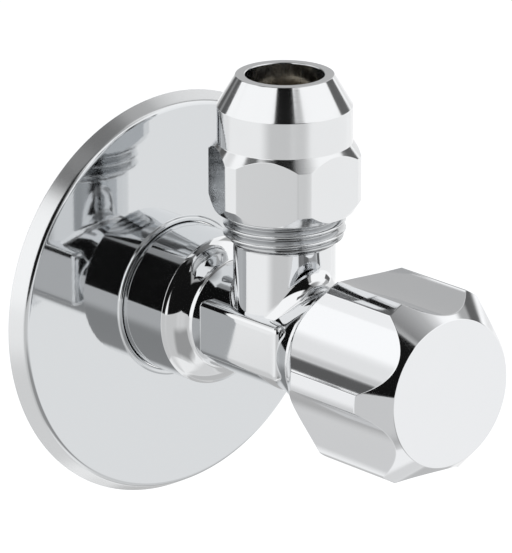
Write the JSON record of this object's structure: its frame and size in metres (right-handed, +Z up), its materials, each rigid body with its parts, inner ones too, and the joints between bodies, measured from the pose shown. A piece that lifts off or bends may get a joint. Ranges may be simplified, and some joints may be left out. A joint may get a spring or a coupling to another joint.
{
  "type": "angle stop valve",
  "caption": "Chrome angle stop valve with wall rosette, fluted knob, working screw-down headwork and an upward compression outlet for a tube.",
  "frame": {"origin": "on the inlet axis in the wall plane, where the rosette's back rim lies", "axes": "+Y along the inlet axis into the wall, +Z up along the outlet, the knob towards -Y"},
  "size_m": [0.0574, 0.0744, 0.0654],
  "materials": {
    "chrome_plate": "polished chrome plate",
    "knob_chrome": "polished chrome plate on a moulded or cast knob",
    "brass": "machined, bare",
    "spring_steel": "bright",
    "rubber": "matt black",
    "fibre": "red sealing fibre",
    "ptfe": "waxy white",
    "nylon": "moulded, natural white"
  },
  "bodies": {
    "valve": {"valve_body": "chrome_plate", "inlet_seal_ring": "ptfe", "headwork_bonnet": "brass", "bonnet_gasket": "fibre"},
    "knob": {"handle": "knob_chrome", "handle_insert": "nylon", "insert_clip": "spring_steel", "spindle": "brass", "spindle_o_ring_inner": "rubber", "spindle_o_ring_outer": "rubber", "friction_washer": "ptfe", "circlip_washer": "ptfe", "spindle_circlip": "spring_steel"},
    "plug": {"valve_plug": "brass", "seat_washer": "rubber", "retaining_washer": "spring_steel", "washer_screw": "spring_steel"},
    "wall_plate": {"rosette": "chrome_plate"},
    "tube_ring": {"compression_ring": "brass"},
    "nut": {"compression_nut": "chrome_plate"}
  },
  "joints": [
    {"name": "handle_turn", "type": "hinge", "parent": "valve", "child": "knob", "pos_m": [0, -0.0468, 0], "axis": [0, -1, 0], "range_deg": [0, 1080]},
    {"name": "plug_travel", "type": "slide", "parent": "valve", "child": "plug", "axis": [0, -1, 0], "range_m": [0, 0.0045]},
    {"name": "rosette_slide", "type": "slide", "parent": "valve", "child": "wall_plate", "axis": [0, -1, 0], "range_m": [0, 0.008]},
    {"name": "nut_turn", "type": "hinge", "parent": "tube_ring", "child": "nut", "pos_m": [0, -0.0243, 0.025], "axis": [0, 0, 1], "range_deg": [0, 2160]},
    {"name": "ring_rise", "type": "slide", "parent": "valve", "child": "tube_ring", "axis": [0, 0, 1], "range_m": [0, 0.00802]}
  ],
  "couplings": [
    {"joint": "handle_turn", "follows": "plug_travel", "rad_per_m": 4188.8},
    {"joint": "nut_turn", "follows": "ring_rise", "rad_per_m": 4699.5}
  ]
}
